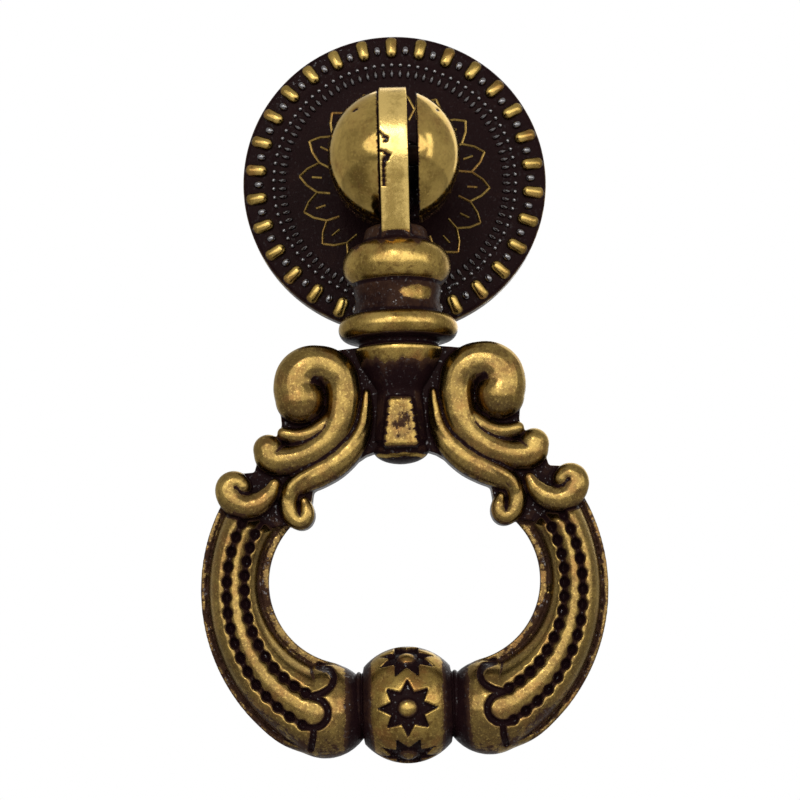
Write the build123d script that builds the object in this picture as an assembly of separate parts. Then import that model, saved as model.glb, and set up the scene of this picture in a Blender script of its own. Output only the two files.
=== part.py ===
from build123d import *
import math
import os

# Drop ring pull. X is to the right, Y runs into the drawer front, Z is up.
# The origin is the centre of the rosette's flat back, on the axis of the fixing thread.
# All sizes are in millimetres.

# Rosette backplate
PLATE_RADIUS = 16.0
BORDER_WIDTH = 0.55
CHANNEL_WIDTH = 2.3
RIDGE_WIDTH = 0.55
COVE_WIDTH = 0.8
BORDER_HEIGHT = 2.75
CHANNEL_HEIGHT = 2.3
RIDGE_HEIGHT = 2.6
COVE_HEIGHT = 1.8
FIELD_HEIGHT = 2.0
EDGE_BEVEL = 0.35

# Radial bars on the rim
BAR_COUNT = 30
BAR_LENGTH = 2.0
BAR_WIDTH = 0.95
BAR_HEIGHT = 3.0
BAR_CROWN = 0.28

# Ball post
PIVOT_STANDOFF = 12.0
BALL_RADIUS = 6.6
SKIRT_STEP = 0.2
SKIRT_LENGTH = 4.4
STEM_RADIUS = 4.0
FOOT_RADIUS = 4.6
FOOT_HEIGHT = 0.6
SPIGOT_RADIUS = 2.9
SPIGOT_CLEARANCE = 0.05
THREAD_RADIUS = 1.65
THREAD_FLOOR = 1.05

# Slot, eye and cross pin
EYE_THICKNESS = 2.75
EYE_PROUD = 0.1
SLOT_GAP_LEFT = 0.45
SLOT_GAP_RIGHT = 0.95
SLOT_FLOOR_GAP = 0.25
PIN_RADIUS = 1.0
PIN_CHAMFER = 0.15
PIN_END_GAP = 0.05
PIN_CLEARANCE_BALL = 0.03
PIN_CLEARANCE_EYE = 0.06
TANG_HALF_DEPTH = 3.6

# Turned neck of the pendant, from the pivot down
SHOULDER_GAP = 0.8
SHOULDER_RADIUS = 3.0
SHOULDER_HEIGHT = 1.7
UPPER_COLLAR_RADIUS = 5.3
UPPER_COLLAR_HEIGHT = 4.1
WAIST_RADIUS = 4.35
WAIST_HOLLOW = 0.2
WAIST_HEIGHT = 3.0
LOWER_COLLAR_RADIUS = 5.85
LOWER_COLLAR_HEIGHT = 2.4
UPPER_COLLAR_ROUNDING = 1.5
LOWER_COLLAR_ROUNDING = 1.1
COLLAR_TURNS = (0, 45, 90)
NECKLINE_HEIGHT = 0.6
BELL_RADIUS = 4.05
BELL_HEIGHT = 4.5
BELL_FOOT_RADIUS = 2.4
BOSS_RADIUS = 2.8
BOSS_HEIGHT = 5.4
BOSS_ROUNDING = 1.5
TONGUE_TOP_WIDTH = 2.2
TONGUE_FOOT_WIDTH = 3.4
TONGUE_PROUD = 0.45

# Scrollwork between the neck and the heads of the two arms
SCROLL_HEIGHT = 17.4
BAND_RADIUS = 1.5
BAND_SIDES = 8
TIP_TURNS = (40, 75)
SCROLL_RELIEF = 1.2
WEB_BACK = 2.0
WEB_FRONT = 0.95

# Reeded arms: an outer circle, and a smaller circle for the finger opening
ARM_OUTER_RADIUS = 17.85
OPENING_RADIUS = 7.8
RING_CENTRE_X = 1.65
OPENING_SHIFT_X = 3.55
OPENING_SHIFT_Z = 0.6
ARM_TOP_ANGLE = 25.0
ARM_ROOT_ANGLE = 36.0
ARM_END_ANGLE = -58.5
BULB_ANGLE = -62.0
ARM_SECTION_COUNT = 6
ARM_BACK_SHARE = 0.74
ARM_FIN_WIDTH = 0.4
ARM_FIN_HEIGHT = 0.45
REED_SHARE = 0.2
VALLEY_SHARE = 0.70

# Central bead, its necks and the bulbs at the arm ends
BEAD_RADIUS = 5.45
BEAD_HALF_WIDTH = 4.1
BEAD_NECK_RADIUS = 3.0
NECK_RING_RADIUS = 3.45
NECK_RING_WIDTH = 0.9
BULB_RADIUS = 4.45
STAR_RADIUS = 2.7
STAR_VALLEY_RADIUS = 1.55
STAR_POINTS = 8
STAR_DEPTH = 0.95
STAR_DOME_RADIUS = 1.0
STAR_DOME_TOP_RADIUS = 0.55
STAR_DOME_SUNK = 0.1

# Levels worked out from the sizes above
pivot_y = -PIVOT_STANDOFF
skirt_radius = BALL_RADIUS - SKIRT_STEP
eye_radius = BALL_RADIUS + EYE_PROUD
slot_floor_y = pivot_y + eye_radius + SLOT_FLOOR_GAP
thread_depth = -slot_floor_y - THREAD_FLOOR
shoulder_z = -(eye_radius + SHOULDER_GAP)
upper_collar_z = shoulder_z - SHOULDER_HEIGHT
waist_z = upper_collar_z - UPPER_COLLAR_HEIGHT
lower_collar_z = waist_z - WAIST_HEIGHT
neckline_z = lower_collar_z - LOWER_COLLAR_HEIGHT
bell_z = neckline_z - NECKLINE_HEIGHT
boss_z = bell_z - BELL_HEIGHT
boss_end_z = boss_z - BOSS_HEIGHT - BOSS_ROUNDING


def arm_edges(angle):
    """Distances from the ring centre to the opening and to the outer edge, along one direction."""
    turn = math.radians(angle)
    along = OPENING_SHIFT_X * math.cos(turn) + OPENING_SHIFT_Z * math.sin(turn)
    across = OPENING_SHIFT_X * math.sin(turn) - OPENING_SHIFT_Z * math.cos(turn)
    inner = along + math.sqrt(OPENING_RADIUS ** 2 - across ** 2)
    return inner, ARM_OUTER_RADIUS


def arm_reach(angle):
    """Sideways and upward distance of the arm's centre line from the ring centre."""
    inner, outer = arm_edges(angle)
    middle = (inner + outer) / 2
    turn = math.radians(angle)
    return middle * math.cos(turn), middle * math.sin(turn)


scroll_reach = RING_CENTRE_X + arm_reach(ARM_TOP_ANGLE)[0]
arm_top_z = neckline_z - SCROLL_HEIGHT
ring_centre_z = arm_top_z - arm_reach(ARM_TOP_ANGLE)[1]
bulb_x = RING_CENTRE_X + arm_reach(BULB_ANGLE)[0]
bead_z = ring_centre_z + arm_reach(BULB_ANGLE)[1]


def ring_pattern(shape, count):
    """Copies of one shape, evenly spaced about the Y axis."""
    return [shape.rotate(Axis.Y, 360 * index / count) for index in range(count)]


def plate_profile():
    """Half section of the rosette in the XY plane, front towards -Y."""
    channel_edge = PLATE_RADIUS - BORDER_WIDTH
    ridge_edge = channel_edge - CHANNEL_WIDTH
    cove_edge = ridge_edge - RIDGE_WIDTH
    field_edge = cove_edge - COVE_WIDTH
    hole_radius = SPIGOT_RADIUS + SPIGOT_CLEARANCE
    corners = [
        (hole_radius, 0),
        (PLATE_RADIUS, 0),
        (PLATE_RADIUS, EDGE_BEVEL - BORDER_HEIGHT),
        (PLATE_RADIUS - EDGE_BEVEL, -BORDER_HEIGHT),
        (channel_edge, -CHANNEL_HEIGHT),
        (ridge_edge, -CHANNEL_HEIGHT),
        ((ridge_edge + cove_edge) / 2, -RIDGE_HEIGHT),
        (cove_edge, -COVE_HEIGHT),
        ((cove_edge + field_edge) / 2, -COVE_HEIGHT),
        (field_edge, -FIELD_HEIGHT),
        (hole_radius, -FIELD_HEIGHT),
    ]
    return make_face(Polyline(*corners, close=True))


def rim_bar():
    """One crowned bar lying across the bead channel at the top of the rim."""
    middle = PLATE_RADIUS - BORDER_WIDTH - CHANNEL_WIDTH / 2
    foot_height = CHANNEL_HEIGHT / 2
    waist_height = BAR_HEIGHT - BAR_CROWN
    place = Pos(0, middle)
    foot = Plane.XZ.offset(foot_height) * place * Rectangle(BAR_WIDTH, BAR_LENGTH)
    waist = Plane.XZ.offset(waist_height) * place * Rectangle(BAR_WIDTH, BAR_LENGTH)
    crown = Rectangle(BAR_WIDTH - 2 * BAR_CROWN, BAR_LENGTH - 2 * BAR_CROWN)
    crest = Plane.XZ.offset(BAR_HEIGHT) * place * crown
    return loft([foot, waist, crest], ruled=True)


def make_backplate():
    plate = revolve(plate_profile(), Axis.Y)
    return plate + ring_pattern(rim_bar(), BAR_COUNT)


def post_profile():
    """Half section of the ball, skirt, stem, foot and spigot in the XY plane."""
    skirt_front = pivot_y + math.sqrt(BALL_RADIUS ** 2 - skirt_radius ** 2)
    skirt_rear = pivot_y + SKIRT_LENGTH
    dome_turn = math.radians(45)
    dome_middle = (BALL_RADIUS * math.sin(dome_turn), pivot_y - BALL_RADIUS * math.cos(dome_turn))
    foot_front = -FIELD_HEIGHT - FOOT_HEIGHT
    outline = Polyline(
        (0, pivot_y - BALL_RADIUS),
        (0, 0),
        (SPIGOT_RADIUS, 0),
        (SPIGOT_RADIUS, -FIELD_HEIGHT),
        (FOOT_RADIUS, -FIELD_HEIGHT),
        (FOOT_RADIUS, foot_front),
        (STEM_RADIUS, foot_front - (FOOT_RADIUS - STEM_RADIUS)),
        (STEM_RADIUS, skirt_rear),
        (skirt_radius, skirt_rear),
        (skirt_radius, skirt_front),
    )
    dome = ThreePointArc((skirt_radius, skirt_front), dome_middle, (0, pivot_y - BALL_RADIUS))
    return make_face(outline + dome)


def make_ball_post():
    post = revolve(post_profile(), Axis.Y)
    slot_width = EYE_THICKNESS + SLOT_GAP_LEFT + SLOT_GAP_RIGHT
    slot_x = (SLOT_GAP_RIGHT - SLOT_GAP_LEFT) / 2
    slot_front = pivot_y - 2 * BALL_RADIUS
    slot_middle = (slot_front + slot_floor_y) / 2
    slot = Box(slot_width, slot_floor_y - slot_front, 4 * BALL_RADIUS)
    post -= Pos(slot_x, slot_middle, 0) * slot
    pin_hole = Cylinder(PIN_RADIUS + PIN_CLEARANCE_BALL, 4 * BALL_RADIUS, rotation=(0, 90, 0))
    post -= Pos(0, pivot_y, 0) * pin_hole
    thread = Cylinder(THREAD_RADIUS, 2 * thread_depth, rotation=(90, 0, 0))
    return post - thread


def make_hinge_pin():
    """Cross pin, its ends just under the surface of the ball."""
    half_length = math.sqrt(BALL_RADIUS ** 2 - PIN_RADIUS ** 2) - PIN_END_GAP
    pin = Cylinder(PIN_RADIUS, 2 * half_length, rotation=(0, 90, 0))
    pin = chamfer(pin.edges(), PIN_CHAMFER)
    return Pos(0, pivot_y, 0) * pin


def make_eye():
    """Flat disc of the eye and the tang that runs down into the shoulder."""
    disc = Cylinder(eye_radius, EYE_THICKNESS, rotation=(0, 90, 0))
    tang_height = SHOULDER_HEIGHT - shoulder_z
    tang = Box(EYE_THICKNESS, 2 * TANG_HALF_DEPTH, tang_height)
    return Pos(0, pivot_y, 0) * (disc + Pos(0, 0, -tang_height / 2) * tang)


def collar_edge(radius, top_z, foot_z, rounding):
    """Corners of a collar's edge, turned over in short flats above and below a straight wall."""
    middle = radius - rounding
    upper = []
    lower = []
    for turn in COLLAR_TURNS:
        outward = rounding * math.sin(math.radians(turn))
        upward = rounding * math.cos(math.radians(turn)) - rounding
        upper.append((middle + outward, top_z + upward))
        lower.append((middle + outward, foot_z - upward))
    return upper + lower[::-1]


def neck_profile():
    """Half section of the neck, bell and boss in the XZ plane."""
    boss_round_z = boss_z - BOSS_HEIGHT
    lines = Polyline(
        (0, boss_end_z),
        (0, shoulder_z),
        (SHOULDER_RADIUS, shoulder_z),
        *collar_edge(UPPER_COLLAR_RADIUS, upper_collar_z, waist_z, UPPER_COLLAR_ROUNDING),
        (WAIST_RADIUS, waist_z),
        (WAIST_RADIUS - WAIST_HOLLOW, (waist_z + lower_collar_z) / 2),
        (WAIST_RADIUS, lower_collar_z),
        *collar_edge(LOWER_COLLAR_RADIUS, lower_collar_z, neckline_z, LOWER_COLLAR_ROUNDING),
        (BELL_RADIUS, neckline_z),
        (BELL_RADIUS, bell_z),
        ((BELL_RADIUS + BELL_FOOT_RADIUS) / 2, bell_z - BELL_HEIGHT / 3),
        (BELL_FOOT_RADIUS, boss_z),
    )
    cap_radius = (BOSS_RADIUS ** 2 + BOSS_ROUNDING ** 2) / (2 * BOSS_ROUNDING)
    cap_turn = math.asin(BOSS_RADIUS / cap_radius) / 2
    cap_middle = (cap_radius * math.sin(cap_turn), boss_end_z + cap_radius * (1 - math.cos(cap_turn)))
    lines += Line((BELL_FOOT_RADIUS, boss_z), (BOSS_RADIUS, boss_round_z))
    lines += ThreePointArc((BOSS_RADIUS, boss_round_z), cap_middle, (0, boss_end_z))
    return Plane.XZ * make_face(lines)


def make_neck():
    return Pos(0, pivot_y, 0) * revolve(neck_profile(), Axis.Z)


def make_tongue():
    """Raised plaque down the front of the boss."""
    top = Plane.XY.offset(boss_z) * Rectangle(TONGUE_TOP_WIDTH, 2 * (BELL_FOOT_RADIUS + TONGUE_PROUD))
    foot_z = boss_z - BOSS_HEIGHT
    foot = Plane.XY.offset(foot_z) * Rectangle(TONGUE_FOOT_WIDTH, 2 * (BOSS_RADIUS + TONGUE_PROUD))
    plaque = loft([top, foot])
    front_half = Pos(0, -PLATE_RADIUS / 2, (boss_z + foot_z) / 2) * Box(
        PLATE_RADIUS, PLATE_RADIUS, 2 * BOSS_HEIGHT
    )
    return Pos(0, pivot_y, 0) * (plaque & front_half)


def scroll_place(across, down):
    """A place in the scrollwork: 0, 0 at the neckline on the axis and 1, 1 at the arm's head."""
    return across * scroll_reach, neckline_z - down * SCROLL_HEIGHT


def scroll_band(stations, steps, round_start=False, round_end=False):
    """Tapering round band through stations of (across, down, share of the band radius)."""
    spots = []
    for across, down, share in stations:
        x, z = scroll_place(across, down)
        spots.append((x, pivot_y - SCROLL_RELIEF, z))
    path = Spline(*spots)
    shares = [share for across, down, share in stations]
    sections = []
    for step in range(steps + 1):
        travel = step / steps
        sections.append((path @ travel, path % travel, band_share(shares, travel) * BAND_RADIUS))
    if round_start:
        place, heading, radius = sections[0]
        sections[:0] = tip_sections(place, heading, radius, -1)[::-1]
    if round_end:
        place, heading, radius = sections[-1]
        sections += tip_sections(place, heading, radius, 1)
    rings = []
    for place, heading, radius in sections:
        plane = Plane(origin=place, x_dir=(0, 1, 0), z_dir=heading)
        rings.append(plane * RegularPolygon(radius, BAND_SIDES))
    return loft(rings, ruled=True)


def band_share(shares, travel):
    """Radius share at a point of the travel, between the stations either side of it."""
    position = travel * (len(shares) - 1)
    index = min(int(position), len(shares) - 2)
    blend = position - index
    return shares[index] * (1 - blend) + shares[index + 1] * blend


def tip_sections(place, heading, radius, direction):
    """Shrinking sections that round off an end of a band, direction 1 at its end and -1 at its start."""
    sections = []
    for turn in TIP_TURNS:
        reach = direction * radius * math.sin(math.radians(turn))
        sections.append((place + heading * reach, heading, radius * math.cos(math.radians(turn))))
    return sections


def make_volute():
    """Band that rises beside the bell, turns over and ends in a fat bulb."""
    band = scroll_band(
        [(0.425, 0.57, 0.6), (0.345, 0.43, 0.8), (0.335, 0.29, 0.87), (0.385, 0.165, 1.0),
         (0.52, 0.10, 1.07), (0.65, 0.155, 1.15)],
        10,
    )
    cheek = scroll_band(
        [(0.59, 0.12, 1.1), (0.66, 0.17, 1.25), (0.675, 0.25, 1.4), (0.64, 0.315, 1.45)],
        4, round_end=True,
    )
    return band + cheek


def make_leaves():
    """Thin rib under the volute and the fat leaf below it."""
    rib = scroll_band(
        [(0.40, 0.40, 0.45), (0.48, 0.475, 0.45), (0.61, 0.515, 0.45), (0.73, 0.495, 0.45)],
        5, round_end=True,
    )
    leaf = scroll_band(
        [(0.40, 0.51, 0.5), (0.56, 0.60, 0.65), (0.72, 0.635, 0.95), (0.835, 0.61, 1.15)],
        6, round_end=True,
    )
    return rib + leaf


def make_stem():
    """S shaped band that leaves the boss, follows the opening and ends in a small curl."""
    stem = scroll_band(
        [(0.205, 0.25, 0.4), (0.215, 0.40, 0.6), (0.25, 0.525, 0.7), (0.335, 0.62, 0.76),
         (0.465, 0.70, 0.78), (0.60, 0.755, 0.72), (0.70, 0.82, 0.6)],
        10,
    )
    curl = scroll_band(
        [(0.68, 0.80, 0.6), (0.74, 0.88, 0.5), (0.735, 0.955, 0.48), (0.67, 1.01, 0.46),
         (0.605, 0.955, 0.46), (0.595, 0.88, 0.44), (0.62, 0.82, 0.38)],
        9, round_end=True,
    )
    return stem + curl


def make_arm_scroll():
    """Small open C scroll that sits on the head of the arm."""
    return scroll_band(
        [(1.045, 0.735, 0.66), (1.12, 0.785, 0.72), (1.125, 0.86, 0.68), (1.055, 0.915, 0.6),
         (0.95, 0.915, 0.5), (0.855, 0.875, 0.42), (0.785, 0.80, 0.3)],
        9, round_start=True, round_end=True,
    )


def make_web():
    """Recessed ground of the scrollwork, mirrored about the middle."""
    outline = [
        (0, 0.01), (0.52, 0.02), (0.66, 0.08), (0.77, 0.22), (0.765, 0.42), (0.86, 0.52),
        (0.93, 0.62), (1.08, 0.72), (1.14, 0.86), (1.05, 0.95), (0.80, 0.96), (0.70, 1.0),
        (0.62, 0.95), (0.60, 0.83), (0.46, 0.71), (0.30, 0.61), (0.20, 0.60), (0, 0.62),
    ]
    corners = [scroll_place(across, down) for across, down in outline]
    face = Plane.XZ * make_face(Polyline(*corners, close=True))
    web = extrude(face, amount=WEB_FRONT + WEB_BACK)
    return Pos(0, pivot_y + WEB_BACK, 0) * web


def arm_plane(angle):
    """Plane square to the arm, X outwards from the opening and Y towards the front."""
    reach_x, reach_z = arm_reach(angle)
    turn = math.radians(angle)
    return Plane(
        origin=(RING_CENTRE_X + reach_x, pivot_y, ring_centre_z + reach_z),
        x_dir=(math.cos(turn), 0, math.sin(turn)),
        z_dir=(math.sin(turn), 0, -math.cos(turn)),
    )


def arm_half_width(angle):
    inner, outer = arm_edges(angle)
    return (outer - inner) / 2


def arm_section(angle):
    """Rounded back, a thin border fin at each edge and three reeds side by side in front."""
    half_width = arm_half_width(angle)
    fin_edge = half_width - ARM_FIN_WIDTH
    gutter_edge = fin_edge - ARM_FIN_WIDTH
    valley = gutter_edge / 3
    valley_height = VALLEY_SHARE * half_width
    middle_height = valley_height + REED_SHARE * half_width
    back = -ARM_BACK_SHARE * half_width
    lines = Polyline(
        (-half_width, 0), (-half_width, ARM_FIN_HEIGHT), (-fin_edge, ARM_FIN_HEIGHT), (-gutter_edge, 0))
    lines += ThreePointArc((-gutter_edge, 0), (-2 * valley, valley_height), (-valley, valley_height))
    lines += ThreePointArc((-valley, valley_height), (0, middle_height), (valley, valley_height))
    lines += ThreePointArc((valley, valley_height), (2 * valley, valley_height), (gutter_edge, 0))
    lines += Polyline(
        (gutter_edge, 0), (fin_edge, ARM_FIN_HEIGHT), (half_width, ARM_FIN_HEIGHT), (half_width, 0))
    lines += ThreePointArc((half_width, 0), (0, back), (-half_width, 0))
    return arm_plane(angle) * make_face(lines)


def make_arm():
    """One arm, from under the scrollwork down into the bulb."""
    sections = []
    for index in range(ARM_SECTION_COUNT):
        share = index / (ARM_SECTION_COUNT - 1)
        sections.append(arm_section(ARM_ROOT_ANGLE + (ARM_END_ANGLE - ARM_ROOT_ANGLE) * share))
    return loft(sections)


def make_bead_and_bulbs():
    """Turned bead, ringed necks and bulbs on one horizontal axis."""
    bead_edge = math.sqrt(BEAD_RADIUS ** 2 - BEAD_HALF_WIDTH ** 2)
    bead_turn = math.asin(BEAD_HALF_WIDTH / BEAD_RADIUS) / 2
    bead_middle = (BEAD_RADIUS * math.sin(bead_turn), BEAD_RADIUS * math.cos(bead_turn))
    bulb_neck_x = bulb_x - math.sqrt(BULB_RADIUS ** 2 - BEAD_NECK_RADIUS ** 2)
    ring_x = (BEAD_HALF_WIDTH + bulb_neck_x) / 2
    ring_start = ring_x - NECK_RING_WIDTH / 2
    ring_end = ring_x + NECK_RING_WIDTH / 2
    lines = Polyline((0, 0), (0, BEAD_RADIUS))
    lines += ThreePointArc((0, BEAD_RADIUS), bead_middle, (BEAD_HALF_WIDTH, bead_edge))
    lines += Polyline((BEAD_HALF_WIDTH, bead_edge), (ring_start, BEAD_NECK_RADIUS))
    lines += ThreePointArc(
        (ring_start, BEAD_NECK_RADIUS), (ring_x, NECK_RING_RADIUS), (ring_end, BEAD_NECK_RADIUS))
    lines += Polyline((ring_end, BEAD_NECK_RADIUS), (bulb_neck_x, BEAD_NECK_RADIUS))
    lines += ThreePointArc(
        (bulb_neck_x, BEAD_NECK_RADIUS), (bulb_x, BULB_RADIUS), (bulb_x + BULB_RADIUS, 0))
    lines += Line((bulb_x + BULB_RADIUS, 0), (0, 0))
    half = revolve(make_face(lines), Axis.X)
    both = half + mirror(half, Plane.YZ)
    return Pos(0, pivot_y, bead_z) * both


def star_recess():
    """Eight pointed hollow with a dome left standing in its middle."""
    corners = []
    for index in range(2 * STAR_POINTS):
        radius = STAR_RADIUS if index % 2 == 0 else STAR_VALLEY_RADIUS
        turn = math.pi * index / STAR_POINTS + math.pi / 2
        corners.append((radius * math.cos(turn), radius * math.sin(turn)))
    star = Plane.XZ * make_face(Polyline(*corners, close=True))
    cutter = extrude(star, amount=BEAD_RADIUS)
    floor = Box(4 * STAR_RADIUS, 2 * (BEAD_RADIUS - STAR_DEPTH), 4 * STAR_RADIUS)
    dome = Cone(STAR_DOME_RADIUS, STAR_DOME_TOP_RADIUS, STAR_DEPTH - STAR_DOME_SUNK, rotation=(90, 0, 0))
    dome = Pos(0, (STAR_DEPTH + STAR_DOME_SUNK) / 2 - BEAD_RADIUS, 0) * dome
    return Pos(0, pivot_y, bead_z) * (cutter - floor - dome)


def make_pendant():
    right_side = make_volute() + make_leaves() + make_stem() + make_arm_scroll() + make_arm()
    right_side += make_web()
    body = make_eye() + make_neck() + make_tongue() + make_bead_and_bulbs()
    body += right_side
    body += mirror(right_side, Plane.YZ)
    body -= star_recess()
    eye_hole = Cylinder(PIN_RADIUS + PIN_CLEARANCE_EYE, 2 * EYE_THICKNESS, rotation=(0, 90, 0))
    return body - Pos(0, pivot_y, 0) * eye_hole


def main():
    os.makedirs("parts", exist_ok=True)
    export_step(make_backplate(), "parts/backplate.step")
    export_step(make_ball_post(), "parts/ball_post.step")
    export_step(make_hinge_pin(), "parts/hinge_pin.step")
    export_step(make_pendant(), "parts/pendant.step")


main()
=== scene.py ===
import math

import bpy
import numpy as np
from mathutils import Matrix, Vector
from mathutils.bvhtree import BVHTree


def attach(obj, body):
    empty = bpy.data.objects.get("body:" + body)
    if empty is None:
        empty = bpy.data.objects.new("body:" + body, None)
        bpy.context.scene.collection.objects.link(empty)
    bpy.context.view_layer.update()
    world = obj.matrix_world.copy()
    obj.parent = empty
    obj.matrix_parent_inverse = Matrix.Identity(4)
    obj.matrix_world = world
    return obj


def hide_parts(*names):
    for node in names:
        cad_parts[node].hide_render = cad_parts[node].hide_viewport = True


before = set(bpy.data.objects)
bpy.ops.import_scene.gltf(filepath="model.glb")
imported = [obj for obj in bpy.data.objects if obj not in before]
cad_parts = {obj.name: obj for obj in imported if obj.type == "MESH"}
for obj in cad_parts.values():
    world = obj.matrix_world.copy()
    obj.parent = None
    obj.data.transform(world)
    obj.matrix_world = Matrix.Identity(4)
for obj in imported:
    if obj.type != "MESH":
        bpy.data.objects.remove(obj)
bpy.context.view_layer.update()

MM = 0.001

# Sizes and places that follow the frame, in millimetres
PIVOT_Y = -12.0
BALL_RADIUS = 6.6
EYE_RADIUS = 6.7
EYE_THICKNESS = 2.75
EYE_BORE = 1.06
BALL_BORE = 1.03
SLOT_CENTRE_X = 0.4
SLOT_WIDTH = 3.82
RING_CENTRE = (1.65, -42.5)
OUTER_RADIUS = 17.85
OPENING_RADIUS = 7.8
OPENING_SHIFT = (3.55, 0.6)
BULB_RADIUS = 4.45
BULB_ANGLE = -62
BEAD_CENTRE_Z = -53.6
BEAD_RADIUS = 5.45
RELIEF = 1.2
WEB_Y = -12.95
BACK_Y = -10.0

# Ornament
FIELD_Y = -2.0
BAR_COUNT = 30
RIB_COUNT = 86
PETAL_COUNT = 16
PETAL_LINE = 0.145
STAR_COUNT = 6
STAR_TIP = 2.72
STAR_VALLEY = 1.6
STAR_DEPTH = 0.5
PIT_DEPTH = 0.55
GROOVE_DEPTH = 0.45
NICK_DEPTH = 0.2
CHIP_DEPTH = 0.18

# Fineness of the cast skins
NECK_VOXEL = 0.13
SCROLL_VOXEL = 0.12
ARM_VOXEL = 0.13

# Camera, in millimetres and degrees
CAMERA_PLACE = (0, -162.7, -43.2)
CAMERA_LENS = 70.2
CAMERA_TILT = 7.1
CAMERA_ROLL = -1.43

# Lamps in metres and watts: name, place, aim, width, height, power, shape
LAMPS = (
    ("key_softbox", (0.02, -0.38, 0.062), (0, -0.012, 0), 1.05, 0.30, 2.55, "ELLIPSE"),
    ("spark_lamp", (-0.05, -0.33, 0.16), (0, -0.012, -0.03), 0.05, 0.05, 0.27, "RECTANGLE"),
    ("side_softbox", (0.30, -0.16, 0.04), (0, -0.012, -0.03), 0.06, 0.20, 0.13, "RECTANGLE"),
    ("back_softbox", (0.16, 0.36, 0.20), (0, -0.012, -0.03), 0.45, 0.45, 1.2, "RECTANGLE"),
)


# Small tools for modelling


def deselect():
    if bpy.context.object and bpy.context.object.mode != "OBJECT":
        bpy.ops.object.mode_set(mode="OBJECT")
    bpy.ops.object.select_all(action="DESELECT")


def pick(obj):
    """Makes one object the selected and active one."""
    deselect()
    obj.select_set(True)
    bpy.context.view_layer.objects.active = obj
    return obj


def start_edit(obj):
    """Opens a mesh in edit mode with all of it selected."""
    pick(obj)
    bpy.ops.object.mode_set(mode="EDIT")
    bpy.ops.mesh.select_all(action="SELECT")


def end_edit():
    bpy.ops.object.mode_set(mode="OBJECT")


def added(add, place, **sizes):
    """A new primitive at a place in millimetres."""
    deselect()
    add(location=Vector(place) * MM, **sizes)
    return bpy.context.object


def linked(name, data):
    """A new object in the scene for a mesh, curve, lamp or camera."""
    obj = bpy.data.objects.new(name, data)
    bpy.context.scene.collection.objects.link(obj)
    return obj


def own_copy(obj):
    """A copy with its own mesh."""
    copy = obj.copy()
    copy.data = obj.data.copy()
    bpy.context.scene.collection.objects.link(copy)
    return copy


def drawn(name, points, edges, faces=()):
    """An object with points in millimetres joined by edges or faces, as a start for spin or extrude."""
    mesh = bpy.data.meshes.new(name)
    mesh.from_pydata([Vector(point) * MM for point in points], edges, faces)
    return linked(name, mesh)


def apply_modifiers(obj):
    pick(obj)
    for modifier in list(obj.modifiers):
        bpy.ops.object.modifier_apply(modifier=modifier.name)


def join(name, objects):
    """One object out of several."""
    pick(objects[0])
    for obj in objects:
        obj.select_set(True)
    bpy.ops.object.join()
    joined = bpy.context.object
    joined.name = name
    joined.data.name = name
    return joined


def outward(obj):
    """Merges doubled points and turns every face outwards."""
    start_edit(obj)
    bpy.ops.mesh.remove_doubles(threshold=1e-6)
    bpy.ops.mesh.normals_make_consistent(inside=False)
    end_edit()
    return obj


def settle(obj):
    """Puts an object's place, turn and size into its mesh."""
    pick(obj)
    bpy.ops.object.transform_apply(location=True, rotation=True, scale=True)
    return obj


def pushed_out(obj, travel):
    """Gives a drawn face thickness."""
    start_edit(obj)
    bpy.ops.mesh.extrude_region_move(TRANSFORM_OT_translate={"value": Vector(travel) * MM})
    end_edit()
    return outward(obj)


def cut_out(obj, cutter):
    """Takes one closed form out of another."""
    cut = obj.modifiers.new("cut", "BOOLEAN")
    cut.operation = "DIFFERENCE"
    cut.solver = "EXACT"
    cut.object = cutter
    apply_modifiers(obj)
    bpy.data.objects.remove(cutter)


def block(place, size):
    """A box with its middle at a place, in millimetres."""
    box = added(bpy.ops.mesh.primitive_cube_add, place, size=1)
    box.scale = Vector(size) * MM
    return settle(box)


def sphere(place, radius, segments, rings):
    """A ball at a place, in millimetres; settled once it is turned and scaled."""
    return added(bpy.ops.mesh.primitive_uv_sphere_add, place, radius=radius * MM, segments=segments,
                 ring_count=rings)


def crossing_rod(radius, length, sides):
    """A round rod across the pivot, along the hinge axis."""
    rod = added(bpy.ops.mesh.primitive_cylinder_add, (0, PIVOT_Y, 0), radius=radius * MM, depth=length * MM,
                vertices=sides, rotation=(0, math.radians(90), 0))
    return settle(rod)


AXES = {"X": (1, 0, 0), "Y": (0, 1, 0), "Z": (0, 0, 1)}


def turned(name, outline, axis, centre, sides):
    """Spins an outline of (radius, place along the axis) about an axis through the centre."""
    layouts = {
        "X": lambda radius, along: (along, 0, radius),
        "Y": lambda radius, along: (radius, along, 0),
        "Z": lambda radius, along: (radius, 0, along),
    }
    points = [Vector(layouts[axis](radius, along)) + Vector(centre) for radius, along in outline]
    obj = drawn(name, points, [(index, index + 1) for index in range(len(points) - 1)])
    start_edit(obj)
    bpy.ops.mesh.spin(steps=sides, angle=2 * math.pi, center=Vector(centre) * MM, axis=AXES[axis])
    end_edit()
    return outward(obj)


def oval(centre, half_width, half_height, start, end, steps):
    """Points of an oval's arc about (radius, along), angles in degrees from the radius direction."""
    points = []
    for step in range(steps + 1):
        turn = math.radians(start + (end - start) * step / steps)
        points.append((centre[0] + half_width * math.cos(turn), centre[1] + half_height * math.sin(turn)))
    return points


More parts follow.
